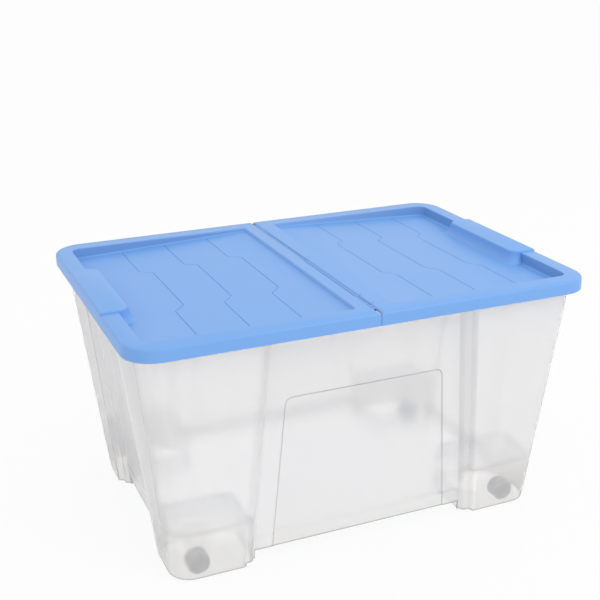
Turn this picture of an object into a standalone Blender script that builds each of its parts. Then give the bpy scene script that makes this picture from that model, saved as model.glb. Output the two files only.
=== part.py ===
"""Wheeled storage box: a drafted tub with hollow corner feet, a two-part hinged lid and four wheels.

Metres, +Z up, floor at z = 0. X runs along the box, Y across it, the front wall faces -Y.
"""

import math

import bmesh
import bpy

# ---- overall size -------------------------------------------------------------------
LID_LENGTH = 0.590
LID_WIDTH = 0.420
LID_TOP = 0.320          # height of the lid's flat rim above the floor
LID_WALL = 0.0022

# ---- tub ----------------------------------------------------------------------------
WALL = 0.0022
FOOT_LIFT = 0.0025       # the wheels stand this much below the feet
LENGTH_DRAFT = 0.108     # outward lean of a short wall, per unit of height
WIDTH_DRAFT = 0.0822
RIM_PLAY = 0.0011        # free space between the tub's flange and the lid's skirt
SEAT_PLAY = 0.0003       # and between its top and the lid's plate
FLANGE_TOP = LID_TOP - LID_WALL - SEAT_PLAY
FLANGE_REACH = 0.0085
FLANGE_DEPTH = 0.0110
FLANGE_LIP = FLANGE_TOP - FLANGE_DEPTH
LIP_THICK = 0.0018
TOP_LENGTH = LID_LENGTH - 2 * (LID_WALL + RIM_PLAY + FLANGE_REACH)   # over the walls, at the flange
TOP_WIDTH = LID_WIDTH - 2 * (LID_WALL + RIM_PLAY + FLANGE_REACH)
CORNER_RADIUS = 0.029
LONG_RECESS_BASE = 0.1590    # half width of the set-back part of a long wall, at the floor
SHORT_CORNER = 0.0997        # from the tub's side at the flange to the set-back of a short wall
SHORT_RECESS_BASE = TOP_WIDTH / 2 - SHORT_CORNER
RECESS_TAPER = 0.0725        # how much narrower it gets per unit of height
RETURN_WIDTH = 0.0145        # the two-step return beside it
RECESS_DEPTH_BASE = 0.0130
RECESS_DEPTH_GAIN = 0.0167
LEDGE_HIGH = FLANGE_TOP - 0.0187     # the set-back ends under a ledge below the rim
LEDGE_LOW = LEDGE_HIGH - 0.0026
MID_LIFT = 0.0145            # lower edge of the walls between the feet
FLOOR_TOP = 0.0340
HOUSING_TOP = 0.0655         # floor level over the four wheel housings
HOUSING_CROWN = 0.0080       # rounding of a housing's inner edges
FOOT_INNER_ROUND = 0.012
FOOT_X = LONG_RECESS_BASE - RETURN_WIDTH - 0.0005    # inner faces of a foot
FOOT_Y = SHORT_RECESS_BASE - RETURN_WIDTH - 0.0005
HOUSING_LEAN = 0.02
PANEL_SINK = 0.0007          # framed panel on the long walls
PANEL_BASE_HALF = 0.1205
PANEL_TOP_HALF = 0.1045
PANEL_TOP = 0.2175
PANEL_FOOT = 0.0040
PANEL_ROUND = 0.009
ARC_STEPS = 7

# ---- lid ----------------------------------------------------------------------------
SKIRT = 0.0160
LID_CORNER = 0.038
EDGE_ROUND = ((0.0040, 0.0), (0.0021, 0.0005), (0.0008, 0.0017), (0.0, 0.0036))
SEAM_GAP = 0.0006
RIM_END = 0.0225             # flat rim round the recess, at a short end
RIM_SIDE = 0.0250            # and along a long side
RECESS_END = LID_LENGTH / 2 - RIM_END
RECESS_SIDE = LID_WIDTH / 2 - RIM_SIDE
RECESS_ROUND = 0.012
RECESS_INNER_ROUND = 0.004
RECESS_FILLET = 0.0034       # at the foot of the recess wall
RECESS_EDGE = 0.0010         # and at its top
WALL_LEAN = 0.0008
SHALLOW = 0.0052             # depth of the recess at the seam side
FLOOR_FALL = 0.0392          # fall of its floor towards the end, per unit of length
LINE_DEEP = 0.0007           # depth of the zigzag lines in the floor
LINE_WIDE = 0.0013
LEFT_START = 0.0205
LEFT_LINES = (0.0660, 0.1276, 0.1886)
LEFT_JOG = 0.0150
RIGHT_START = 0.0250
RIGHT_LINES = (0.0770, 0.1400, 0.2034)
RIGHT_JOG = 0.0133
JOG_REAR = (0.088, 0.076)
JOG_FRONT = (-0.059, -0.075)
GRIP_RISE = 0.0028
GRIP_HALF = 0.083
GRIP_ROUND = 0.012
GRIP_DEPTH = 0.0132          # the finger grip stands this far into the recess, at its top
GRIP_LEAN = 0.0073           # and this much further at the recess floor
GRIP_INNER = RECESS_END - GRIP_DEPTH
GRIP_FOOT = GRIP_INNER - GRIP_LEAN

# ---- lid hinge ----------------------------------------------------------------------
BARREL = 0.0018
BARREL_SUNK = 0.0008         # top of the barrels below the rim
HINGE_Z = LID_TOP - BARREL_SUNK - BARREL
SEAM_VEE = 0.0008            # start of the 45 degree bevel along the seam, beside the hinge axis
OPEN_GAP = 0.0022            # the wider gap that shows beside the long middle knuckle
PIN_RADIUS = 0.0009
PIN_PLAY = 0.00025
BARREL_PLAY = 0.0003
HINGE_END = LID_WIDTH / 2 - 0.0180
KNUCKLE_GAP = 0.0005
REAR_KNUCKLE = 0.0340
MIDDLE_JOINT = 0.0085
FRONT_KNUCKLE = 0.0145
SECOND_KNUCKLE = 0.0305
REAR_JOINT = HINGE_END - REAR_KNUCKLE
FRONT_JOINT = FRONT_KNUCKLE - HINGE_END
SECOND_JOINT = FRONT_JOINT + KNUCKLE_GAP + SECOND_KNUCKLE
KNUCKLES = (                 # y from, y to, half that carries the knuckle
    (HINGE_END, REAR_JOINT, "right"),
    (REAR_JOINT - KNUCKLE_GAP, MIDDLE_JOINT, "left"),
    (MIDDLE_JOINT - KNUCKLE_GAP, SECOND_JOINT + KNUCKLE_GAP, "right"),
    (SECOND_JOINT, FRONT_JOINT + KNUCKLE_GAP, "left"),
    (FRONT_JOINT, -HINGE_END, "right"),
)
TICKS = (REAR_JOINT - 0.0020, MIDDLE_JOINT - 0.0015, SECOND_JOINT - 0.0015, FRONT_JOINT - 0.0020)
TICK_REACH = 0.0080
TICK_WIDTH = 0.0006
PIN_SPLIT = -0.0664
PIN_SPLIT_GAP = 0.0008
PIN_END = HINGE_END - 0.0015
PINS = (
    ("hinge_pin_rear", PIN_END, PIN_SPLIT + PIN_SPLIT_GAP / 2),
    ("hinge_pin_front", PIN_SPLIT - PIN_SPLIT_GAP / 2, -PIN_END),
)

# ---- wheels -------------------------------------------------------------------------
WHEEL_RADIUS = 0.0140
WHEEL_WIDTH = 0.0160
WHEEL_END_INSET = 0.0364     # wheel centre from the short wall, at axle height
WHEEL_FRONT_INSET = 0.0232   # and from the front wall
WHEEL_REAR_INSET = 0.0637    # and from the rear wall
AXLE_RADIUS = 0.0018
AXLE_PLAY = 0.0003
CHEEK = 0.0024
CHEEK_HALF = 0.0130
CHEEK_GAP = 0.0008
CHEEK_LOW = 0.0060
CHEEK_TIP = 0.0055           # half width at its lower edge
CHEEK_SHOULDER = 0.0300      # height at which it reaches its full width
CHEEK_FLARE = 0.0040         # and how much it widens above that, on each side
AXLE_HEAD = 0.0032
AXLE_HEAD_LENGTH = 0.0014


# ---- helpers ------------------------------------------------------------------------
def clear_scene():
    for thing in list(bpy.data.objects):
        bpy.data.objects.remove(thing, do_unlink=True)


def material(name, colour, roughness, metallic=0.0):
    made = bpy.data.materials.new(name)
    made.use_nodes = True
    shader = made.node_tree.nodes["Principled BSDF"]
    shader.inputs["Base Color"].default_value = (*colour, 1.0)
    shader.inputs["Roughness"].default_value = roughness
    shader.inputs["Metallic"].default_value = metallic
    made.diffuse_color = (*colour, 1.0)
    return made


def add_object(name, verts, faces, helper=False):
    mesh = bpy.data.meshes.new(name)
    mesh.from_pydata(verts, [], faces)
    form = bmesh.new()
    form.from_mesh(mesh)
    bmesh.ops.recalc_face_normals(form, faces=form.faces)
    form.to_mesh(mesh)
    form.free()
    made = bpy.data.objects.new(name, mesh)
    bpy.context.scene.collection.objects.link(made)
    if helper:
        made.hide_render = True
        made.display_type = "WIRE"
    return made


def loft(name, loops, helper=False, ring=False):
    """A closed body through loops of equal length; a ring also joins the last loop to the first."""
    count = len(loops[0])
    verts = [point for loop in loops for point in loop]
    faces = []
    spans = len(loops) if ring else len(loops) - 1
    for level in range(spans):
        low = level * count
        high = ((level + 1) % len(loops)) * count
        for i in range(count):
            j = (i + 1) % count
            faces.append((low + i, low + j, high + j, high + i))
    if not ring:
        faces.append(tuple(reversed(range(count))))
        faces.append(tuple(range((len(loops) - 1) * count, len(loops) * count)))
    return add_object(name, verts, faces, helper)


def prism(name, plan, low, high, helper=True):
    return loft(name, [[(x, y, low) for x, y in plan], [(x, y, high) for x, y in plan]], helper)


def block(name, x0, x1, y0, y1, z0, z1):
    return prism(name, [(x0, y0), (x1, y0), (x1, y1), (x0, y1)], z0, z1)


def rod_along_y(name, x, z, radius, y0, y1, sides=20, helper=True):
    """A round bar parallel to Y."""
    loops = []
    for y in (y0, y1):
        ring = []
        for i in range(sides):
            turn = 2 * math.pi * (i + 0.5) / sides
            ring.append((x + radius * math.cos(turn), y, z + radius * math.sin(turn)))
        loops.append(ring)
    return loft(name, loops, helper)


def lathe_along_y(name, profile, sides, helper=False):
    """A ring turned about the Y axis through the origin; profile holds (radius, y) all round the section."""
    loops = []
    for i in range(sides):
        turn = 2 * math.pi * i / sides
        loops.append([(r * math.cos(turn), y, r * math.sin(turn)) for r, y in profile])
    return loft(name, loops, helper, ring=True)


def combine(target, other, operation):
    step = target.modifiers.new(operation.lower(), "BOOLEAN")
    step.operation = operation
    step.object = other
    step.solver = "EXACT"
    bpy.context.view_layer.update()
    graph = bpy.context.evaluated_depsgraph_get()
    result = bpy.data.meshes.new_from_object(target.evaluated_get(graph))
    target.modifiers.clear()
    target.data = result
    bpy.data.objects.remove(other, do_unlink=True)


def cut(target, *cutters):
    for cutter in cutters:
        combine(target, cutter, "DIFFERENCE")


def join(target, *others):
    for other in others:
        combine(target, other, "UNION")


def tidy(target, surface, angle=30.0):
    """Merge the vertices left by the cuts, then shade round faces smooth and keep the edges sharp."""
    form = bmesh.new()
    form.from_mesh(target.data)
    bmesh.ops.remove_doubles(form, verts=form.verts, dist=2e-6)
    bmesh.ops.dissolve_degenerate(form, edges=form.edges, dist=1e-6)
    form.to_mesh(target.data)
    form.free()
    target.data.shade_smooth()
    target.data.set_sharp_from_angle(angle=math.radians(angle))
    target.data.materials.clear()
    target.data.materials.append(surface)


def rounded(points_and_radii, steps=4):
    """A plan with its corners rounded: each entry is (x, y, radius)."""
    plan = []
    total = len(points_and_radii)
    for i, (x, y, radius) in enumerate(points_and_radii):
        if radius <= 0:
            plan.append((x, y))
            continue
        before = points_and_radii[i - 1]
        after = points_and_radii[(i + 1) % total]
        to_before = (before[0] - x, before[1] - y)
        to_after = (after[0] - x, after[1] - y)
        near = math.hypot(*to_before)
        far = math.hypot(*to_after)
        a = (to_before[0] / near, to_before[1] / near)
        b = (to_after[0] / far, to_after[1] / far)
        half = math.acos(max(-1.0, min(1.0, a[0] * b[0] + a[1] * b[1]))) / 2
        reach = radius / math.tan(half)
        middle = (a[0] + b[0], a[1] + b[1])
        size = math.hypot(*middle)
        centre_gap = radius / math.sin(half)
        centre = (x + middle[0] / size * centre_gap, y + middle[1] / size * centre_gap)
        start = (x + a[0] * reach - centre[0], y + a[1] * reach - centre[1])
        end = (x + b[0] * reach - centre[0], y + b[1] * reach - centre[1])
        from_angle = math.atan2(start[1], start[0])
        sweep = math.atan2(end[1], end[0]) - from_angle
        if sweep > math.pi:
            sweep -= 2 * math.pi
        if sweep < -math.pi:
            sweep += 2 * math.pi
        for k in range(steps + 1):
            turn = from_angle + sweep * k / steps
            plan.append((centre[0] + radius * math.cos(turn), centre[1] + radius * math.sin(turn)))
    return plan


# ---- tub outline --------------------------------------------------------------------
def half_length(z):
    return TOP_LENGTH / 2 - LENGTH_DRAFT * (FLANGE_TOP - z)


def half_width(z):
    return TOP_WIDTH / 2 - WIDTH_DRAFT * (FLANGE_TOP - z)


def recess_depth(z):
    return RECESS_DEPTH_BASE + RECESS_DEPTH_GAIN * z


def return_steps(edge, depth):
    """(distance along the wall, set-back) from the outer corner of a return to its foot."""
    return (
        (edge + 0.0012, 0.0),
        (edge, 0.07 * depth),
        (edge - 0.0024, 0.46 * depth),
        (edge - 0.0040, 0.52 * depth),
        (edge - 0.0092, 0.55 * depth),
        (edge - 0.0106, 0.61 * depth),
        (edge - 0.0132, 0.94 * depth),
        (edge - RETURN_WIDTH, depth),
    )


def corner_arc(z, inset):
    a = half_length(z) - inset
    b = half_width(z) - inset
    radius = CORNER_RADIUS - inset
    arc = []
    for k in range(ARC_STEPS + 1):
        turn = math.pi / 2 * k / ARC_STEPS
        arc.append((a - radius + radius * math.cos(turn), b - radius + radius * math.sin(turn)))
    return arc


def corner_run(z, inset, depth):
    """The +X +Y corner of the tub's outline, from the short wall's set-back round to the long wall's."""
    a = half_length(z) - inset
    b = half_width(z) - inset
    short_steps = return_steps(SHORT_RECESS_BASE - RECESS_TAPER * z + inset, depth)
    long_steps = return_steps(LONG_RECESS_BASE - RECESS_TAPER * z + inset, depth)
    run = [(a - back, along) for along, back in reversed(short_steps)]
    run += corner_arc(z, inset)
    run += [(along, b - back) for along, back in long_steps]
    return run


def clipped(steps, limit):
    """The steps of a return, ended where they meet the inner wall of a foot."""
    found = []
    last = len(steps)
    for k, (along, _) in enumerate(steps):
        place = max(along, limit + 0.0003 * (last - k))
        found.append((place, set_back_at(steps, place)))
    found.append((limit, set_back_at(steps, limit)))
    return found


def set_back_at(steps, place):
    for (far, shallow), (near, deep) in zip(steps, steps[1:]):
        if near <= place <= far:
            return shallow + (deep - shallow) * (far - place) / (far - near)
    return 0.0 if place > steps[0][0] else steps[-1][1]


def mirrored(run):
    """A quarter run carried round all four corners, counter-clockwise."""
    plan = list(run)
    plan += [(-x, y) for x, y in reversed(run)]
    plan += [(-x, -y) for x, y in run]
    plan += [(x, -y) for x, y in reversed(run)]
    return plan


def tub_loop(z, inset=0.0, depth=None, at=None):
    """One level of the tub: at is the height the loop lies at, when the outline is that of another level."""
    plan = mirrored(corner_run(z, inset, recess_depth(z) if depth is None else depth))
    level = z if at is None else at
    return [(x, y, level) for x, y in plan]


def build_tub(surface):
    under_floor = FLOOR_TOP - WALL
    flange_under = FLANGE_TOP - 0.0023
    loops = [
        tub_loop(under_floor, WALL),
        tub_loop(FOOT_LIFT, WALL),
        tub_loop(FOOT_LIFT, 0.0007),
        tub_loop(FOOT_LIFT + 0.0010, 0.0),
        tub_loop(LEDGE_LOW, 0.0),
        tub_loop(LEDGE_HIGH, 0.0, depth=0.0006),
        tub_loop(flange_under, 0.0, depth=0.0),
        tub_loop(flange_under, LIP_THICK - FLANGE_REACH, depth=0.0),
        tub_loop(FLANGE_LIP, LIP_THICK - FLANGE_REACH, depth=0.0),
        tub_loop(FLANGE_LIP, -FLANGE_REACH, depth=0.0),
        tub_loop(flange_under + 0.0010, -FLANGE_REACH, depth=0.0),
        tub_loop(FLANGE_TOP, 0.0010 - FLANGE_REACH, depth=0.0),
        tub_loop(FLANGE_TOP, WALL - 0.0008, depth=0.0),
        tub_loop(FLANGE_TOP - 0.0008, WALL, depth=0.0),
        tub_loop(LEDGE_HIGH + WALL, WALL, depth=0.0006),
        tub_loop(LEDGE_LOW + WALL, WALL),
        tub_loop(FLOOR_TOP + 0.0030, WALL),
        tub_loop(FLOOR_TOP, WALL + 0.0030),
    ]
    tub = loft("tub", loops)
    quarters = [(sx, sy) for sx in (1, -1) for sy in (1, -1)]
    for sx, sy in quarters:
        join(tub, foot_solid("foot", sx, sy, WALL / 2, FOOT_LIFT + 0.0005, HOUSING_TOP))
    for sx, sy in quarters:
        cut(tub, foot_solid("pocket", sx, sy, WALL + 0.0001, -FOOT_LIFT, HOUSING_TOP - WALL, WALL))
    cut(tub, *cross_cutters())
    for x, y in wheel_places():
        join(tub, *cheeks(x, y))
        outer = WHEEL_WIDTH / 2 + CHEEK_GAP + CHEEK
        ends = y - outer - 0.001, y + outer + 0.001
        cut(tub, rod_along_y("bore", x, WHEEL_RADIUS, AXLE_RADIUS + AXLE_PLAY, *ends))
        slot = AXLE_RADIUS * 0.75
        cut(tub, block("slot", x - slot, x + slot, y - outer - 0.001, y + outer + 0.001, 0.0, WHEEL_RADIUS))
    for side in (1, -1):
        cut(tub, panel_cutter(side))
    tidy(tub, surface, 28.0)
    return tub


def foot_solid(name, sx, sy, inset, low, high, shrink=0.0):
    """A foot and the wheel housing above it; the outer faces follow the tub's wall at the given inset."""
    loops = []
    crown = HOUSING_CROWN - shrink
    for z, pull in ((low, 0.0), (high - crown, 0.0), (high - 0.3 * crown, 0.3 * crown), (high, crown)):
        off = inset
        depth = recess_depth(z)
        a = half_length(z) - off
        b = half_width(z) - off
        lean = HOUSING_LEAN * (z - low) + shrink + pull
        x_in = FOOT_X + lean
        y_in = FOOT_Y + lean
        short_steps = clipped(return_steps(SHORT_RECESS_BASE - RECESS_TAPER * z + off, depth), y_in)
        long_steps = clipped(return_steps(LONG_RECESS_BASE - RECESS_TAPER * z + off, depth), x_in)
        plan = [(a - back, along) for along, back in reversed(short_steps)]
        plan += corner_arc(z, off)
        plan += [(along, b - back) for along, back in long_steps]
        for k in range(5):
            turn = math.pi + math.pi / 2 * k / 4
            plan.append((
                x_in + FOOT_INNER_ROUND * (1 + math.cos(turn)),
                y_in + FOOT_INNER_ROUND * (1 + math.sin(turn)),
            ))
        loops.append([(sx * x, sy * y, z) for x, y in plan])
    return loft(name, loops, helper=True)


def cross_cutters():
    """Clears the walls between the feet up to their lower edge."""
    x_in = FOOT_X - 0.0005
    y_in = FOOT_Y - 0.0005
    return (
        block("between_long", -x_in, x_in, -LID_WIDTH, LID_WIDTH, -MID_LIFT, MID_LIFT),
        block("between_short", -LID_LENGTH, LID_LENGTH, -y_in, y_in, -MID_LIFT, MID_LIFT),
    )


def wheel_places():
    along = half_length(WHEEL_RADIUS) - WHEEL_END_INSET
    front = WHEEL_FRONT_INSET - half_width(WHEEL_RADIUS)
    rear = half_width(WHEEL_RADIUS) - WHEEL_REAR_INSET
    return [(-along, front), (along, front), (-along, rear), (along, rear)]


def cheeks(x, y):
    """The two plates in a foot that carry one axle."""
    made = []
    for side in (1, -1):
        near = y + side * (WHEEL_WIDTH / 2 + CHEEK_GAP)
        far = near + side * CHEEK
        low, high = min(near, far), max(near, far)
        outline = [
            (x - CHEEK_HALF - CHEEK_FLARE, HOUSING_TOP - WALL / 2),
            (x - CHEEK_HALF, CHEEK_SHOULDER),
            (x - CHEEK_TIP, CHEEK_LOW),
            (x + CHEEK_TIP, CHEEK_LOW),
            (x + CHEEK_HALF, CHEEK_SHOULDER),
            (x + CHEEK_HALF + CHEEK_FLARE, HOUSING_TOP - WALL / 2),
        ]
        loops = [[(px, low, pz) for px, pz in outline], [(px, high, pz) for px, pz in outline]]
        made.append(loft("cheek", loops, helper=True))
    return made


def panel_cutter(side):
    """Sinks a framed panel, wider at its foot, into a long wall."""
    plan = rounded([
        (-PANEL_BASE_HALF - 0.0008, PANEL_FOOT, 0.0),
        (PANEL_BASE_HALF + 0.0008, PANEL_FOOT, 0.0),
        (PANEL_TOP_HALF, PANEL_TOP, PANEL_ROUND),
        (-PANEL_TOP_HALF, PANEL_TOP, PANEL_ROUND),
    ])
    loops = []
    for out in (0.004, -PANEL_SINK):
        loops.append([(x, side * (half_width(z) - recess_depth(z) + out), z) for x, z in plan])
    return loft("panel", loops, helper=True)


# ---- lid ----------------------------------------------------------------------------
def lid_plan(side, inset, seam):
    """Plan of one lid half, seam is how far its straight edge stays from the middle."""
    end = LID_LENGTH / 2 - inset
    wide = LID_WIDTH / 2 - inset
    radius = max(LID_CORNER - inset, 0.001)
    plan = rounded([(seam, -wide, 0.0), (end, -wide, radius), (end, wide, radius), (seam, wide, 0.0)], 8)
    return [(side * x, y) for x, y in plan]


def recess_plan(side, grow, start):
    """Plan of the recess, or of the pan round it, grown outwards by the given amount."""
    end = RECESS_END + grow
    wide = RECESS_SIDE + grow
    near = start - grow
    inner = RECESS_INNER_ROUND + max(grow, 0.0)
    outer = RECESS_ROUND + max(grow, -RECESS_ROUND / 2)
    plan = rounded([(near, wide, inner), (near, -wide, inner), (end, -wide, outer), (end, wide, outer)], 5)
    return [(side * x, y) for x, y in plan]


def recess_floor(x, start):
    """Height of the recess floor at distance x from the seam: it falls evenly towards the end."""
    return LID_TOP - SHALLOW - FLOOR_FALL * (x - start)


def recess_void(side, start, top):
    """The space of the recess: flat sloping floor, a fillet at its foot, leaning wall, soft upper edge."""
    steps = []
    for degrees in (0, 30, 60, 90):
        turn = math.radians(degrees)
        rise = RECESS_FILLET * (1 - math.cos(turn))
        steps.append((rise, WALL_LEAN + RECESS_FILLET * (1 - math.sin(turn))))
    loops = []
    for rise, inset in steps:
        plan = recess_plan(side, -inset, start)
        loops.append([(x, y, recess_floor(abs(x), start) + rise) for x, y in plan])
    edge = ((-RECESS_EDGE, 0.0), (-0.3 * RECESS_EDGE, 0.3 * RECESS_EDGE), (0.00005, RECESS_EDGE))
    for level, out in edge + ((top - LID_TOP, RECESS_EDGE),):
        loops.append([(x, y, LID_TOP + level) for x, y in recess_plan(side, out, start)])
    return loft("void", loops, helper=True)


def recess_pan(side, start, top):
    """The solid that the recess is sunk into."""
    lower = recess_plan(side, LID_WALL - WALL_LEAN, start)
    loops = [[(x, y, recess_floor(abs(x), start) - LID_WALL) for x, y in lower]]
    loops.append([(x, y, top) for x, y in recess_plan(side, LID_WALL, start)])
    return loft("pan", loops, helper=True)


def zigzag_line(side, start, near, jog):
    """A fine groove across the recess floor that steps sideways at its middle and near its ends."""
    far = near + jog
    reach = RECESS_SIDE - RECESS_FILLET - WALL_LEAN - 0.0003
    path = rounded([
        (far, reach, 0.0),
        (far, JOG_REAR[0], 0.0015),
        (near, JOG_REAR[1], 0.0015),
        (near, JOG_FRONT[0], 0.0015),
        (far, JOG_FRONT[1], 0.0015),
        (far, -reach, 0.0),
    ], 4)
    loops = []
    for x, y in path:
        floor = recess_floor(x, start)
        loops.append([
            (side * (x - LINE_WIDE / 2), y, floor + 0.0008),
            (side * (x - LINE_WIDE / 2), y, floor + 0.0001),
            (side * (x - LINE_WIDE / 5), y, floor - LINE_DEEP),
            (side * (x + LINE_WIDE / 5), y, floor - LINE_DEEP),
            (side * (x + LINE_WIDE / 2), y, floor - 0.0001),
            (side * (x + LINE_WIDE / 2), y, floor + 0.0008),
        ])
    return loft("line", loops, helper=True)


def grip_floor():
    """Height of the recess floor at the foot of a finger grip."""
    return recess_floor(GRIP_FOOT, LEFT_START)


def grip_solid(name, side, inset, low):
    """The raised finger grip in the middle of a short end; its lower part stays inside the recess."""
    floor = grip_floor()
    top = LID_TOP + GRIP_RISE
    near = RECESS_END + LID_WALL - 0.0003
    full = LID_LENGTH / 2 - 0.0001
    plate = LID_TOP - 0.0019
    levels = [
        (low, GRIP_FOOT, GRIP_HALF + 0.0070, near),
        (floor, GRIP_FOOT, GRIP_HALF + 0.0070, near),
        (floor + 0.0015, GRIP_FOOT + 0.0018, GRIP_HALF + 0.0050, near),
        (floor + 0.0045, GRIP_FOOT + 0.0038, GRIP_HALF + 0.0032, near),
        (plate - 0.0001, GRIP_INNER - 0.0008, GRIP_HALF + 0.0006, near),
        (plate, GRIP_INNER - 0.0008, GRIP_HALF + 0.0006, full),
        (top - 0.0028, GRIP_INNER - 0.0002, GRIP_HALF + 0.0002, full),
        (top - 0.0015, GRIP_INNER, GRIP_HALF, full - 0.0007),
        (top - 0.0005, GRIP_INNER + 0.0007, GRIP_HALF - 0.0007, full - 0.0018),
        (top, GRIP_INNER + 0.0020, GRIP_HALF - 0.0020, full - 0.0034),
    ]
    loops = []
    for z, inner, half, outer in levels:
        if inset:
            outer = full
            if z > floor:
                z -= LID_WALL
        plan = rounded([
            (inner + inset, half - inset, GRIP_ROUND - inset),
            (inner + inset, inset - half, GRIP_ROUND - inset),
            (outer - inset, inset - half, 0.002),
            (outer - inset, half - inset, 0.002),
        ], 5)
        loops.append([(side * x, y, z) for x, y in plan])
    return loft(name, loops, helper=True)


def build_lid_half(name, side, owner, start, lines, jog, surface):
    skirt_foot = LID_TOP - SKIRT
    seam = SEAM_GAP / 2
    shape = [(skirt_foot, -0.0001)] + [(LID_TOP - drop, inset) for drop, inset in EDGE_ROUND]
    loops = [[(x, y, z) for x, y in lid_plan(side, inset, seam)] for z, inset in shape]
    lid = loft(name, loops)
    plate_under = LID_TOP - LID_WALL
    under = lid_plan(side, LID_WALL, -0.010)
    upper = lid_plan(side, LID_WALL + 0.0012, -0.010)
    cut(lid, loft("under", [
        [(x, y, skirt_foot - 0.004) for x, y in under],
        [(x, y, plate_under - 0.0012) for x, y in under],
        [(x, y, plate_under) for x, y in upper],
    ], helper=True))
    cut(lid, seam_bevel(side))
    join(lid, recess_pan(side, start, LID_TOP - 0.0011))
    cut(lid, recess_void(side, start, LID_TOP + 0.006))
    join(lid, grip_solid("grip", side, 0.0, grip_floor() - LID_WALL + 0.0005))
    for near in lines:
        cut(lid, zigzag_line(side, start, near, jog))
    cut(lid, grip_solid("grip_hollow", side, LID_WALL, LID_TOP - 0.022))
    for y0, y1, carrier in KNUCKLES:
        if carrier == owner:
            join(lid, rod_along_y("barrel", 0.0, HINGE_Z, BARREL, y1, y0, 20))
            join(lid, knuckle_web(side, y1 + 0.0001, y0 - 0.0001))
    for y0, y1, carrier in KNUCKLES:
        if carrier != owner:
            clear = BARREL + (OPEN_GAP if side < 0 and y0 > 0 > y1 else BARREL_PLAY)
            x0, x1 = sorted((side * clear, -side * 4 * BARREL))
            cut(lid, block("clear", x0, x1, y1 - 0.0002, y0 + 0.0002, HINGE_Z - 0.006, LID_TOP + 0.002))
    bore_end = HINGE_END - 0.0008
    cut(lid, rod_along_y("bore", 0.0, HINGE_Z, PIN_RADIUS + PIN_PLAY, -bore_end, bore_end, 16))
    if owner == "right":
        for y in TICKS:
            plan = [
                (0.0010, y), (TICK_REACH, y + TICK_REACH - 0.001),
                (TICK_REACH, y + TICK_REACH - 0.001 + TICK_WIDTH * 1.4), (0.0010, y + TICK_WIDTH * 1.4),
            ]
            cut(lid, prism("tick", plan, LID_TOP - 0.0009, LID_TOP + 0.002))
    tidy(lid, surface, 28.0)
    return lid


def seam_bevel(side):
    """Takes the top edge off along the seam, so that one half can stand upright on the other."""
    low = HINGE_Z - 0.0004
    high = LID_TOP + 0.0010
    profile = [
        (-0.0010, low), (low - HINGE_Z + SEAM_VEE, low),
        (high - HINGE_Z + SEAM_VEE, high), (-0.0010, high),
    ]
    half = LID_WIDTH / 2 + 0.001
    return loft("bevel", [[(side * x, y, z) for x, z in profile] for y in (-half, half)], helper=True)


def knuckle_web(side, y0, y1):
    """Joins a barrel to the edge of its plate, staying below the bevel."""
    profile = [
        (0.0004, HINGE_Z - 0.0014), (2.5 * BARREL, HINGE_Z - 0.0014), (2.5 * BARREL, HINGE_Z + 0.0010),
        (SEAM_VEE + 0.0010, HINGE_Z + 0.0010), (0.0004, HINGE_Z + 0.0004 - SEAM_VEE),
    ]
    return loft("web", [[(side * x, y, z) for x, z in profile] for y in (y0, y1)], helper=True)


def build_pins(surface):
    for name, y0, y1 in PINS:
        pin = rod_along_y(name, 0.0, HINGE_Z, PIN_RADIUS, y1, y0, 12, helper=False)
        tidy(pin, surface, 40.0)


# ---- wheels -------------------------------------------------------------------------
def build_wheels(tyre, steel):
    half = WHEEL_WIDTH / 2
    bore = AXLE_RADIUS + AXLE_PLAY
    rim = half - 0.0006
    web = half - 0.0030
    tread = half - 0.0045
    profile = [
        (bore, -half), (0.0050, -half), (0.0054, -web), (0.0106, -web), (0.0110, -rim), (0.0126, -rim),
        (WHEEL_RADIUS, -tread), (WHEEL_RADIUS, tread),
        (0.0126, rim), (0.0110, rim), (0.0106, web), (0.0054, web), (0.0050, half), (bore, half),
    ]
    names = ("front_left", "front_right", "rear_left", "rear_right")
    shared = None
    reach = half + CHEEK_GAP + CHEEK + 0.0003
    for place, (x, y) in zip(names, wheel_places()):
        if shared is None:
            first = lathe_along_y("wheel_" + place, profile, 28)
            tidy(first, tyre, 35.0)
            shared = first.data
            wheel = first
        else:
            wheel = bpy.data.objects.new("wheel_" + place, shared)
            bpy.context.scene.collection.objects.link(wheel)
        wheel.location = (x, y, WHEEL_RADIUS)
        ends = y - reach, y + reach
        axle = rod_along_y("axle_" + place, x, WHEEL_RADIUS, AXLE_RADIUS, *ends, 16, helper=False)
        for side in (1, -1):
            near = y + side * reach
            far = near + side * AXLE_HEAD_LENGTH
            join(axle, rod_along_y("head", x, WHEEL_RADIUS, AXLE_HEAD, min(near, far), max(near, far), 16))
        tidy(axle, steel, 35.0)


def main():
    clear_scene()
    clear_plastic = material("clear_plastic", (0.80, 0.81, 0.82), 0.35)
    blue_plastic = material("blue_plastic", (0.20, 0.46, 0.86), 0.40)
    grey_plastic = material("grey_plastic", (0.30, 0.31, 0.33), 0.45)
    steel = material("pin_steel", (0.62, 0.62, 0.63), 0.30, 1.0)
    build_tub(clear_plastic)
    build_lid_half("lid_left_half", -1, "left", LEFT_START, LEFT_LINES, LEFT_JOG, blue_plastic)
    build_lid_half("lid_right_half", 1, "right", RIGHT_START, RIGHT_LINES, RIGHT_JOG, blue_plastic)
    build_pins(steel)
    build_wheels(grey_plastic, steel)


main()
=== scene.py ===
"""Looks of the wheeled storage box: clear tub, blue folding lid, grey spoked wheels and steel pins."""

import math

import bpy
from mathutils import Matrix, Vector


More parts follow.
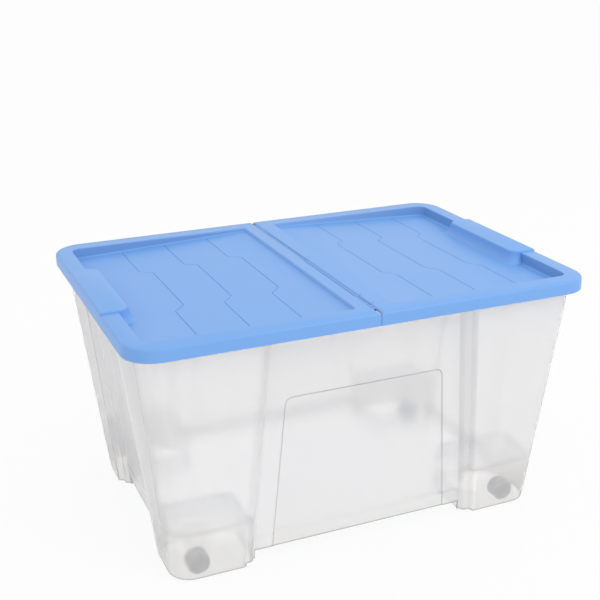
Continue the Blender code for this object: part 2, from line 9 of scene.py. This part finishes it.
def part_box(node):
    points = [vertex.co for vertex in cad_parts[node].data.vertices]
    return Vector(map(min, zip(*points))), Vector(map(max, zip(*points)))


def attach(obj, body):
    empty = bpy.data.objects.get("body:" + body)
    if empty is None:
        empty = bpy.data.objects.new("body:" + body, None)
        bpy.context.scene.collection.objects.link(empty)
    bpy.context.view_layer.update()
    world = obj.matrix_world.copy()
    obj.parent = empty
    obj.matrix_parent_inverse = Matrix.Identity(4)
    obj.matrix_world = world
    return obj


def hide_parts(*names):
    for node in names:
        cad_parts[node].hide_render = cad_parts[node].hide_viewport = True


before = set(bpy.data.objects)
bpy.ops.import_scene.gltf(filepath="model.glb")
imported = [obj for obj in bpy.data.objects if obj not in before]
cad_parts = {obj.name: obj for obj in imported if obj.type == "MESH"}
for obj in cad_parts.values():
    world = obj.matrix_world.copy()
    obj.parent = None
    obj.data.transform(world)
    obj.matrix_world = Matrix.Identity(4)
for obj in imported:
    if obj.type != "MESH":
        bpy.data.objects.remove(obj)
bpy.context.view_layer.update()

# ---- sizes in metres: distances from the middle of the box, and heights -------------
# Tub
FOOT_X = 0.1435              # the feet lie beyond these distances
FOOT_Y = 0.0830
FOOT_LIFT = 0.0025           # lower edge of the feet, and of the walls between them
WALL_LIFT = 0.0145
EDGE_BAND = 0.0012           # height of the darker line of painted shade along a lower edge
EDGE_BORDER = 0.0008
RETURN_LONG = 0.1590         # outer edge of the two-step returns, at floor level, on the long walls
RETURN_SHORT = 0.0985        # and on the short ones
RETURN_TAPER = 0.0725        # how much the returns lean inwards per unit of height
RETURN_WIDTH = 0.0145
PANEL_Y = 0.1500             # surfaces beyond this distance carry the framed panel
PANEL_BASE_HALF = 0.1208     # half its width at floor level, and what it loses per unit of height
PANEL_TAPER = 0.0764
PANEL_TOP = 0.2175
PANEL_ROUND = 0.0090
PANEL_LINE = 0.0010          # half width of the darker line of painted shade round the panel
PANEL_LINE_BORDER = 0.0005
FOOT_BAND = 0.0720           # painted shade: the feet grow darker below this height, over the height given next
FOOT_FADE = 0.0320
SKIRT_BAND = 0.0380          # and the walls between them below this one
SKIRT_FADE = 0.0060
INSIDE_X = 0.2335            # between the feet, surfaces within these distances are the floor
INSIDE_Y = 0.1550
COLUMN_X = 0.1600            # beyond these distances stand the four corner columns
COLUMN_Y = 0.1000
POCKET_X = 0.2460            # and in them, within these distances, the wheel housings
POCKET_Y = 0.1690
POCKET_ROUND = 0.0265
BORDER = 0.0010              # widths over which the other masks of the tub rise from 0 to 1
WIDE_BORDER = 0.0020
# Lid
LID_TOP = 0.3200
SEAM_HALF = 0.0045           # half width of the painted shade in the gap between the lid's halves, and its border
SEAM_BORDER = 0.0004
SEAM_TOP = 0.3186            # the painted shade in the gap lies below this height
SEAM_TOP_BORDER = 0.0006
SEAM_END = 0.2060            # and as far as this to the front and to the rear
SEAM_END_BORDER = 0.0020
RECESS_X = 0.2725            # outline of the sunk part of the lid's top
RECESS_Y = 0.1850
RECESS_ROUND = 0.0120
RECESS_WALL = 0.0014         # half width of the strip of painted shade along that outline
RECESS_WALL_BORDER = 0.0006
RECESS_DROP = 0.0006         # how far below the lid's top the strip begins
RECESS_DROP_BORDER = 0.0008
# Wheels and axles
PLACES = ("front_left", "front_right", "rear_left", "rear_right")
WHEEL_RADIUS = 0.0140
WHEEL_WIDTH = 0.0160
WHEEL_SIDES = 48
RIM = 0.0030                 # thickness of the tread's ring
HUB_RADIUS = 0.0050
WEB_DEPTH = 0.0034           # how far the wheel's sides are sunk between ring and hub
SPOKES = 6
SPOKE_WIDTH = 0.0016
SPOKE_OVERLAP = 0.0012       # how much longer a spoke is than the gap between hub and ring
SPOKE_INSET = 0.0014         # and how much narrower than the wheel
SPOKE_TURN = 0.25            # turn of the first spoke, as a share of the angle between two
PIN_SIDES = 32               # sides of the axle and of its bore
AXLE_RADIUS = 0.0018
BORE_RADIUS = 0.0021
AXLE_REACH = 0.0115          # from the wheel's middle to the axle's heads
AXLE_HEAD = 0.0032
AXLE_HEAD_LENGTH = 0.0014
DOME_START = 0.6             # share of the head's length that is straight
DOME_TOP = 0.6               # width of the head's top, as a share of its full width
# Clean-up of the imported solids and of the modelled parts
MERGE_DISTANCE = 0.000005    # points closer than this become one
FLAT_ANGLE = 0.4             # degrees: faces that meet flatter than this are joined
MOULDED_ANGLE = 26           # degrees: edges flatter than this are shaded round, on the mouldings
WIRE_ANGLE = 40              # and on the hinge pins
ALONG_AXIS = 0.9             # a face looks along the Y axis if its normal has more Y than this

# ---- how much each mark of painted shade darkens the plastic, as a share -------------
EDGE_SHADE = 0.45
PANEL_LINE_SHADE = 0.27
PANEL_SHADE = 0.015
LOW_SHADE = 0.11
SKIRT_SHARE = 0.60           # of LOW_SHADE, on the walls between the feet
RETURN_SHADE = 0.05
SEAM_SHADE = 0.75
RECESS_SHADE = 0.20
INSIDE_CLEARING = 0.52       # share of the tub's inner surfaces that lets light straight through


# ---- material nodes -----------------------------------------------------------------
class Wire:
    """A socket of a finish; arithmetic on it adds Math nodes."""

    def __init__(self, finish, socket):
        self.finish = finish
        self.socket = socket

    def maths(self, operation, first, second):
        return self.finish.node("ShaderNodeMath", {"operation": operation}, {0: first, 1: second})

    def __add__(self, other):
        return self.maths("ADD", self, other)

    def __radd__(self, other):
        return self.maths("ADD", other, self)

    def __sub__(self, other):
        return self.maths("SUBTRACT", self, other)

    def __rsub__(self, other):
        return self.maths("SUBTRACT", other, self)

    def __mul__(self, other):
        return self.maths("MULTIPLY", self, other)

    def __rmul__(self, other):
        return self.maths("MULTIPLY", other, self)

    def __pow__(self, other):
        return self.maths("POWER", self, other)

    def __abs__(self):
        return self.maths("ABSOLUTE", self, 0.0)

    def larger(self, other):
        return self.maths("MAXIMUM", self, other)

    def smaller(self, other):
        return self.maths("MINIMUM", self, other)

    def ramp(self, width):
        """0 below nothing, rising to 1 over the given width."""
        return (self * (1.0 / width)).larger(0.0).smaller(1.0)


class Finish:
    """One material, with its Principled shader and the nodes that feed it."""

    def __init__(self, name, colour, roughness, metallic=0.0):
        self.material = bpy.data.materials.new(name)
        self.material.use_nodes = True
        self.tree = self.material.node_tree
        self.shader = self.tree.nodes["Principled BSDF"]
        self.material.diffuse_color = (*colour, 1.0)
        self.set("Base Color", (*colour, 1.0))
        self.set("Roughness", roughness)
        self.set("Metallic", metallic)

    def feed(self, socket, value):
        """Links a wire to a socket, or writes a plain value into it."""
        if isinstance(value, Wire):
            self.tree.links.new(value.socket, socket)
        else:
            socket.default_value = value

    def set(self, name, value):
        self.feed(self.shader.inputs[name], value)

    def node(self, kind, settings, sockets, output=0):
        """Adds a node and returns the wire that leaves it."""
        made = self.tree.nodes.new(kind)
        for name, value in settings.items():
            setattr(made, name, value)
        for key, value in sockets.items():
            self.feed(made.inputs[key], value)
        return Wire(self, made.outputs[output])

    def place(self, scale=(1, 1, 1)):
        """Object coordinates, stretched by scale."""
        coordinates = self.node("ShaderNodeTexCoord", {}, {}, "Object")
        return self.node("ShaderNodeMapping", {}, {"Vector": coordinates, "Scale": scale})

    def axes(self):
        """The three object coordinates, each on its own wire."""
        split = self.tree.nodes.new("ShaderNodeSeparateXYZ")
        self.feed(split.inputs[0], self.place())
        return [Wire(self, output) for output in split.outputs]

    def noise(self, size, detail=2.0, stretch=(1, 1, 1)):
        """Clouds about size metres across, from 0 to 1."""
        return self.node(
            "ShaderNodeTexNoise",
            {},
            {"Vector": self.place(stretch), "Scale": 1.0 / size, "Detail": detail},
        )

    def between(self, mask, low, high):
        """A colour that runs from low to high as mask runs from 0 to 1."""
        return self.mixed(mask, (*low, 1.0), high)

    def mixed(self, mask, colour, other):
        """The colour, turning into other where mask is 1."""
        return self.node(
            "ShaderNodeMix",
            {"data_type": "RGBA"},
            {0: mask, 6: colour, 7: (*other, 1.0)},
            2,
        )

    def relief(self, height, strength, distance, rounding=0.0):
        """Bump from height, over edges rounded by a small radius."""
        sockets = {"Height": height, "Strength": strength, "Distance": distance}
        if rounding:
            sockets["Normal"] = self.node("ShaderNodeBevel", {"samples": 6}, {"Radius": rounding})
        self.set("Normal", self.node("ShaderNodeBump", {}, sockets))


def rounded(side, over, radius):
    """How far a point is outside a rounded corner, from how far it is past each of its two sides."""
    side, over = side + radius, over + radius
    corner = (side.larger(0.0) ** 2.0 + over.larger(0.0) ** 2.0) ** 0.5
    return corner + side.larger(over).smaller(0.0) - radius


def strip(distance, edge):
    """1 on the return of a set-back wall, which ends at edge."""
    return (distance - edge + RETURN_WIDTH).ramp(BORDER) * (edge - distance).ramp(BORDER)


def painted_shade(*marks):
    """How dark the painted shade makes a point, from pairs of a mark's strength and of the mark
    itself.
    """
    (strength, mark), *others = marks
    light = 1.0 - strength * mark
    for strength, mark in others:
        light = light * (1.0 - strength * mark)
    return 1.0 - light


def lid_finish():
    """Satin light blue polypropylene with a faint mould grain and slow, weak clouding, and painted
    shade in the gap between its halves and along the wall of its sunk top.
    """
    finish = Finish("lid_blue", (0.175, 0.395, 0.81), 0.38)
    clouds = finish.noise(0.09, detail=3.0)
    x, y, z = finish.axes()
    across, along = abs(x), abs(y)
    # painted shade in the gap between the lid's halves
    seam_side = (SEAM_HALF - across).ramp(SEAM_BORDER)
    seam_top = (SEAM_TOP - z).ramp(SEAM_TOP_BORDER)
    seam_end = (SEAM_END - along).ramp(SEAM_END_BORDER)
    seam_gap_shade = seam_side * seam_top * seam_end
    # painted shade along the wall of the sunk top
    outline = rounded(across - RECESS_X, along - RECESS_Y, RECESS_ROUND)
    near = (RECESS_WALL - abs(outline)).ramp(RECESS_WALL_BORDER)
    wall = near * (LID_TOP - RECESS_DROP - z).ramp(RECESS_DROP_BORDER)
    shade = painted_shade((SEAM_SHADE, seam_gap_shade), (RECESS_SHADE, wall))
    blue = finish.between(clouds, low=(0.168, 0.380, 0.795), high=(0.182, 0.402, 0.818))
    finish.set("Base Color", finish.mixed(shade, blue, (0.01, 0.03, 0.08)))
    grain = finish.noise(0.0007)
    finish.set("Roughness", 0.34 + 0.08 * clouds + 0.03 * grain)
    finish.relief(grain, strength=0.12, distance=0.00008, rounding=0.0006)
    finish.set("Specular IOR Level", 0.5)
    return finish.material


def tub_finish():
    """Clear, hazy moulded plastic that blurs what lies behind it.

    It is clearer inside, and carries painted shade along its lower edges, its returns and its panels'
    outline, faintly across its panels and towards its bottom.
    """
    finish = Finish("tub_clear", (0.95, 0.94, 0.92), 0.22)
    haze = finish.noise(0.12, detail=3.0, stretch=(1, 1, 0.6))
    x, y, z = finish.axes()
    across, along = abs(x), abs(y)
    foot = (across - FOOT_X).ramp(BORDER) * (along - FOOT_Y).ramp(BORDER)
    between = (INSIDE_X - across).ramp(WIDE_BORDER) * (INSIDE_Y - along).ramp(WIDE_BORDER)
    column = (across - COLUMN_X).ramp(WIDE_BORDER) * (along - COLUMN_Y).ramp(WIDE_BORDER)
    pocket = rounded(across - POCKET_X, along - POCKET_Y, POCKET_ROUND)
    inside = column.larger(between) * (0.0 - pocket).ramp(BORDER)
    outside = 1.0 - inside
    # painted shade: a darker line along the lower edges, for the contact shadow and the dark look of
    # the wall's edge
    foot_edge = (FOOT_LIFT + EDGE_BAND - z).ramp(EDGE_BORDER)
    wall_edge = (1.0 - foot) * (WALL_LIFT + EDGE_BAND - z).ramp(EDGE_BORDER)
    edge = foot_edge.larger(wall_edge)
    # painted shade in the crease round the sunk panel, and faint painted shade across it
    panel_side = PANEL_BASE_HALF - PANEL_TAPER * z
    outline = rounded(across - panel_side, z - PANEL_TOP, PANEL_ROUND)
    on_wall = (along - PANEL_Y).ramp(BORDER)
    line = (PANEL_LINE - abs(outline)).ramp(PANEL_LINE_BORDER) * on_wall
    sunk = (0.0 - outline).ramp(BORDER) * on_wall
    # painted shade, darker towards the bottom of the feet and of the walls between them
    low_foot = column * (FOOT_BAND - z).ramp(FOOT_FADE)
    low_wall = SKIRT_SHARE * (SKIRT_BAND - z).ramp(SKIRT_FADE)
    low = low_foot.larger(low_wall) * outside
    # painted shade on the returns of the set-back walls
    lean = RETURN_TAPER * z
    long_return = strip(across + lean, RETURN_LONG)
    short_return = strip(along + lean, RETURN_SHORT)
    step = long_return.larger(short_return) * outside
    shade = painted_shade(
        (EDGE_SHADE, edge),
        (PANEL_LINE_SHADE, line),
        (PANEL_SHADE, sunk),
        (LOW_SHADE, low),
        (RETURN_SHADE, step),
    )
    clear = finish.between(haze, low=(0.985, 0.976, 0.966), high=(0.998, 0.989, 0.979))
    finish.set("Base Color", finish.mixed(shade, clear, (0.0, 0.0, 0.0)))
    finish.set("Transmission Weight", 0.73)
    finish.set("Alpha", 1.0 - INSIDE_CLEARING * inside)
    finish.set("IOR", 1.07)
    finish.set("Roughness", 0.21 + 0.06 * haze)
    swell = finish.noise(0.035, detail=1.0)
    finish.relief(swell, strength=0.10, distance=0.0006, rounding=0.0005)
    return finish.material


def wheel_finish():
    """Light grey moulded plastic with a scuffed tread."""
    finish = Finish("wheel_grey", (0.65, 0.655, 0.67), 0.45)
    scuff = finish.noise(0.0025, detail=4.0)
    grey = finish.between(scuff, low=(0.60, 0.605, 0.62), high=(0.70, 0.705, 0.72))
    finish.set("Base Color", grey)
    finish.set("Roughness", 0.38 + 0.18 * scuff)
    finish.relief(scuff, strength=0.2, distance=0.0001, rounding=0.0002)
    return finish.material


def pin_finish():
    """Drawn steel wire, with fine lines round the pin."""
    finish = Finish("pin_steel", (0.60, 0.60, 0.61), 0.28, metallic=1.0)
    lines = finish.noise(0.0016, stretch=(1, 9, 1))
    finish.set("Roughness", 0.20 + 0.16 * lines)
    finish.relief(lines, strength=0.1, distance=0.00005)
    return finish.material


# ---- modelling ----------------------------------------------------------------------
def only(thing):
    """Makes thing the one selected and active object."""
    bpy.ops.object.select_all(action="DESELECT")
    thing.select_set(True)
    bpy.context.view_layer.objects.active = thing


def dress(thing, body, slot, finish, *nodes):
    """Gives thing its finish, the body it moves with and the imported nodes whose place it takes."""
    thing.data.materials.clear()
    thing.data.materials.append(finish)
    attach(thing, body)
    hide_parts(*nodes)


def smooth_copy(node, name, angle):
    """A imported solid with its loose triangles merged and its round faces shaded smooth."""
    made = bpy.data.objects.new(name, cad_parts[node].data.copy())
    bpy.context.scene.collection.objects.link(made)
    only(made)
    bpy.ops.object.mode_set(mode="EDIT")
    bpy.ops.mesh.select_all(action="SELECT")
    bpy.ops.mesh.remove_doubles(threshold=MERGE_DISTANCE)
    bpy.ops.mesh.customdata_custom_splitnormals_clear()
    bpy.ops.mesh.dissolve_limited(angle_limit=math.radians(FLAT_ANGLE))
    bpy.ops.object.mode_set(mode="OBJECT")
    bpy.ops.object.shade_smooth_by_angle(angle=math.radians(angle))
    return made


def start(thing_name):
    """Names the primitive that was just added and puts its place into its mesh."""
    thing = bpy.context.object
    thing.name = thing_name
    only(thing)
    bpy.ops.object.transform_apply(location=True, rotation=True, scale=True)
    return thing


def choose_faces(thing, test):
    """Enters edit mode with just the faces selected whose centre and normal pass the test."""
    if bpy.context.mode != "OBJECT":
        bpy.ops.object.mode_set(mode="OBJECT")
    only(thing)
    bpy.ops.object.mode_set(mode="EDIT")
    bpy.ops.mesh.select_mode(type="FACE")
    bpy.ops.mesh.select_all(action="DESELECT")
    bpy.ops.object.mode_set(mode="OBJECT")
    for face in thing.data.polygons:
        face.select = test(face.center, face.normal)
    bpy.ops.object.mode_set(mode="EDIT")


def on_side(centre, normal):
    """True for a face that looks along the Y axis."""
    return abs(normal.y) > ALONG_AXIS


def on_web(centre, normal):
    """True for a side face of the wheel between its hub and its ring."""
    reach = math.hypot(centre.x, centre.z)
    return on_side(centre, normal) and HUB_RADIUS < reach < WHEEL_RADIUS - RIM


def stretch(x, y, z):
    """Scales what is selected about the origin."""
    bpy.ops.transform.resize(value=(x, y, z), center_override=(0.0, 0.0, 0.0))


def disc(thing_name, radius, length, sides):
    """A cylinder on the Y axis, centred on the origin."""
    bpy.ops.object.select_all(action="DESELECT")
    bpy.ops.mesh.primitive_cylinder_add(
        vertices=sides, radius=radius, depth=length, rotation=(math.pi / 2, 0.0, 0.0)
    )
    return start(thing_name)


def boolean(thing, other, operation):
    """Adds other to thing, or takes it away, and removes other."""
    only(thing)
    modifier = thing.modifiers.new("shape", "BOOLEAN")
    modifier.operation = operation
    modifier.object = other
    bpy.ops.object.modifier_apply(modifier=modifier.name)
    bpy.data.objects.remove(other)


def soften(thing, width, segments, angle):
    """Rounds the sharp edges and shades the round faces smooth."""
    only(thing)
    modifier = thing.modifiers.new("edges", "BEVEL")
    modifier.width = width
    modifier.segments = segments
    modifier.limit_method = "ANGLE"
    modifier.angle_limit = math.radians(angle)
    bpy.ops.object.modifier_apply(modifier=modifier.name)
    bpy.ops.object.shade_smooth_by_angle(angle=math.radians(angle))


def model_roller():
    """A spoked roller on the Y axis: ring, sunk web, hub with its bore, and spokes."""
    roller = disc("roller", WHEEL_RADIUS, WHEEL_WIDTH, WHEEL_SIDES)
    gap = WHEEL_RADIUS - RIM - HUB_RADIUS
    choose_faces(roller, on_side)
    bpy.ops.mesh.inset(thickness=RIM)
    bpy.ops.mesh.inset(thickness=gap)
    choose_faces(roller, on_web)
    bpy.ops.mesh.extrude_region_move()
    stretch(1.0, 1.0 - 2.0 * WEB_DEPTH / WHEEL_WIDTH, 1.0)
    bpy.ops.object.mode_set(mode="OBJECT")
    middle = (HUB_RADIUS + WHEEL_RADIUS - RIM) / 2
    for step in range(SPOKES):
        turn = 2 * math.pi * (step + SPOKE_TURN) / SPOKES
        bpy.ops.object.select_all(action="DESELECT")
        bpy.ops.mesh.primitive_cube_add(
            size=1.0,
            location=(middle * math.cos(turn), 0.0, middle * math.sin(turn)),
            rotation=(0.0, -turn, 0.0),
            scale=(gap + SPOKE_OVERLAP, WHEEL_WIDTH - SPOKE_INSET, SPOKE_WIDTH),
        )
        boolean(roller, start("spoke"), "UNION")
    boolean(roller, disc("bore", BORE_RADIUS, 2 * WHEEL_WIDTH, PIN_SIDES), "DIFFERENCE")
    soften(roller, width=0.00035, segments=2, angle=35)
    return roller


def model_axle():
    """A pin on the Y axis with a low domed head at each end."""
    axle = disc("axle", AXLE_RADIUS, 2 * AXLE_REACH, PIN_SIDES)
    choose_faces(axle, on_side)
    wide = AXLE_HEAD / AXLE_RADIUS
    shoulder = AXLE_REACH + DOME_START * AXLE_HEAD_LENGTH
    bpy.ops.mesh.extrude_region_move()
    stretch(wide, 1.0, wide)
    bpy.ops.mesh.extrude_region_move()
    stretch(1.0, shoulder / AXLE_REACH, 1.0)
    bpy.ops.mesh.extrude_region_move()
    stretch(DOME_TOP, (AXLE_REACH + AXLE_HEAD_LENGTH) / shoulder, DOME_TOP)
    bpy.ops.object.mode_set(mode="OBJECT")
    soften(axle, width=0.0003, segments=3, angle=25)
    return axle


def copy_to(model, name, node):
    """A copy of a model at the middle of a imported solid."""
    low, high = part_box(node)
    only(model)
    bpy.ops.object.duplicate()
    made = bpy.context.object
    made.location = (Vector(low) + Vector(high)) / 2
    bpy.ops.object.transform_apply(location=True, rotation=True, scale=True)
    made.name = name
    return made


# ---- build --------------------------------------------------------------------------
lid_blue = lid_finish()
tub_clear = tub_finish()
wheel_grey = wheel_finish()
pin_steel = pin_finish()

tub_shell = smooth_copy("tub", "tub_shell", MOULDED_ANGLE)
dress(tub_shell, "tub", "clear_plastic", tub_clear, "tub")
left_panel = smooth_copy("lid_left_half", "lid_left_panel", MOULDED_ANGLE)
dress(left_panel, "lid_left", "blue_plastic", lid_blue, "lid_left_half")
right_panel = smooth_copy("lid_right_half", "lid_right_panel", MOULDED_ANGLE)
dress(right_panel, "lid_right", "blue_plastic", lid_blue, "lid_right_half")
for node in ("hinge_pin_rear", "hinge_pin_front"):
    dress(smooth_copy(node, node + "_wire", WIRE_ANGLE), "lid_left", "pin_steel", pin_steel, node)
roller = model_roller()
axle = model_axle()
for place in PLACES:
    wheel = "wheel_" + place
    dress(copy_to(roller, "roller_" + place, wheel), wheel, "grey_plastic", wheel_grey, wheel)
    pin = "axle_" + place
    dress(copy_to(axle, "axle_pin_" + place, pin), "tub", "pin_steel", pin_steel, pin)
bpy.data.objects.remove(roller)
bpy.data.objects.remove(axle)

# ---- floor, light and camera --------------------------------------------------------
FLOOR_SIZE = 60.0
FLOOR_MIDDLE = (0.0, 10.0, 0.0)
FLOOR_COLOUR = (0.90, 0.90, 0.90, 1.0)
FLOOR_WHITE = 0.90           # how far the floor turns to plain white where it is seen directly
WHITE = (1.0, 1.0, 1.0, 1.0)
SKY_STRENGTH = 0.90
LAMP_PLACE = (0.9, -1.5, 1.9)
LAMP_TARGET = (0.0, 0.0, 0.15)
LAMP_SIZE = 1.4
LAMP_POWER = 13.0
CAMERA_PLACE = (-0.5260, -1.2191, 0.7465)
CAMERA_ANGLES = (22.847, 19.871, -0.616)     # yaw, pitch and roll in degrees
FOCAL_PIXELS = 1067.2        # focal length, in pixels of a picture PHOTO_WIDTH pixels wide
PHOTO_WIDTH = 600.0
SENSOR_WIDTH = 36.0          # millimetres


def seen_directly(tree):
    """1 for a ray from the eye, a mirror or clear plastic, and 0 for light on its way to a surface."""
    rays = tree.nodes.new("ShaderNodeLightPath")
    either = rays.outputs["Is Camera Ray"]
    for name in ("Is Glossy Ray", "Is Transmission Ray"):
        widest = tree.nodes.new("ShaderNodeMath")
        widest.operation = "MAXIMUM"
        tree.links.new(either, widest.inputs[0])
        tree.links.new(rays.outputs[name], widest.inputs[1])
        either = widest.outputs[0]
    return either


def lay_floor():
    """A wide matt floor that shows as white and keeps the box's shadow."""
    bpy.ops.object.select_all(action="DESELECT")
    bpy.ops.mesh.primitive_plane_add(size=FLOOR_SIZE, location=FLOOR_MIDDLE)
    floor = bpy.context.object
    floor.name = "floor"
    bpy.ops.object.transform_apply(location=True, rotation=True, scale=True)
    paper = bpy.data.materials.new("white_paper")
    paper.use_nodes = True
    tree = paper.node_tree
    tree.nodes.clear()
    matt = tree.nodes.new("ShaderNodeBsdfDiffuse")
    matt.inputs["Color"].default_value = FLOOR_COLOUR
    white = tree.nodes.new("ShaderNodeEmission")
    white.inputs["Strength"].default_value = 1.0
    share = tree.nodes.new("ShaderNodeMath")
    share.operation = "MULTIPLY"
    share.inputs[1].default_value = FLOOR_WHITE
    tree.links.new(seen_directly(tree), share.inputs[0])
    blend = tree.nodes.new("ShaderNodeMixShader")
    tree.links.new(share.outputs[0], blend.inputs[0])
    tree.links.new(matt.outputs[0], blend.inputs[1])
    tree.links.new(white.outputs[0], blend.inputs[2])
    out = tree.nodes.new("ShaderNodeOutputMaterial")
    tree.links.new(blend.outputs[0], out.inputs["Surface"])
    floor.data.materials.append(paper)


def light_world():
    """Soft light from all round, behind which the background shows as white."""
    world = bpy.data.worlds.new("studio")
    world.use_nodes = True
    bpy.context.scene.world = world
    tree = world.node_tree
    tree.nodes.clear()
    soft = tree.nodes.new("ShaderNodeBackground")
    soft.inputs["Color"].default_value = WHITE
    soft.inputs["Strength"].default_value = SKY_STRENGTH
    white = tree.nodes.new("ShaderNodeBackground")
    white.inputs["Color"].default_value = WHITE
    white.inputs["Strength"].default_value = 1.0
    blend = tree.nodes.new("ShaderNodeMixShader")
    tree.links.new(seen_directly(tree), blend.inputs[0])
    tree.links.new(soft.outputs[0], blend.inputs[1])
    tree.links.new(white.outputs[0], blend.inputs[2])
    out = tree.nodes.new("ShaderNodeOutputWorld")
    tree.links.new(blend.outputs[0], out.inputs["Surface"])


def area_light(name, place, towards, size, power):
    """A square lamp that looks towards a point."""
    data = bpy.data.lights.new(name, "AREA")
    data.shape = "SQUARE"
    data.size = size
    data.energy = power
    lamp = bpy.data.objects.new(name, data)
    lamp.location = place
    lamp.rotation_euler = (Vector(towards) - Vector(place)).to_track_quat("-Z", "Y").to_euler()
    bpy.context.scene.collection.objects.link(lamp)


def place_camera():
    """The photograph's view, from the fit of its edges."""
    yaw, pitch, roll = (math.radians(angle) for angle in CAMERA_ANGLES)
    level = math.cos(pitch)
    ahead = Vector((math.sin(yaw) * level, math.cos(yaw) * level, -math.sin(pitch)))
    right = Vector((math.cos(yaw), -math.sin(yaw), 0.0))
    up = right.cross(ahead)
    turned_right = math.cos(roll) * right + math.sin(roll) * up
    turned_up = math.cos(roll) * up - math.sin(roll) * right
    data = bpy.data.cameras.new("photo_camera")
    data.sensor_fit = "HORIZONTAL"
    data.sensor_width = SENSOR_WIDTH
    data.lens = FOCAL_PIXELS / PHOTO_WIDTH * SENSOR_WIDTH
    data.clip_start = 0.01
    data.clip_end = 200.0
    camera = bpy.data.objects.new("photo_camera", data)
    axes = Matrix((turned_right, turned_up, -ahead)).transposed()
    camera.matrix_world = Matrix.Translation(CAMERA_PLACE) @ axes.to_4x4()
    bpy.context.scene.collection.objects.link(camera)
    bpy.context.scene.camera = camera


lay_floor()
light_world()
area_light("key", LAMP_PLACE, LAMP_TARGET, LAMP_SIZE, LAMP_POWER)
place_camera()
bpy.context.scene.view_settings.view_transform = "Standard"
# Light has to find its way through many walls of clear plastic.
bpy.context.scene.cycles.transparent_max_bounces = 32
bpy.context.scene.cycles.diffuse_bounces = 16
bpy.context.scene.cycles.max_bounces = 32
bpy.context.scene.cycles.transmission_bounces = 32
bpy.context.scene.cycles.glossy_bounces = 12
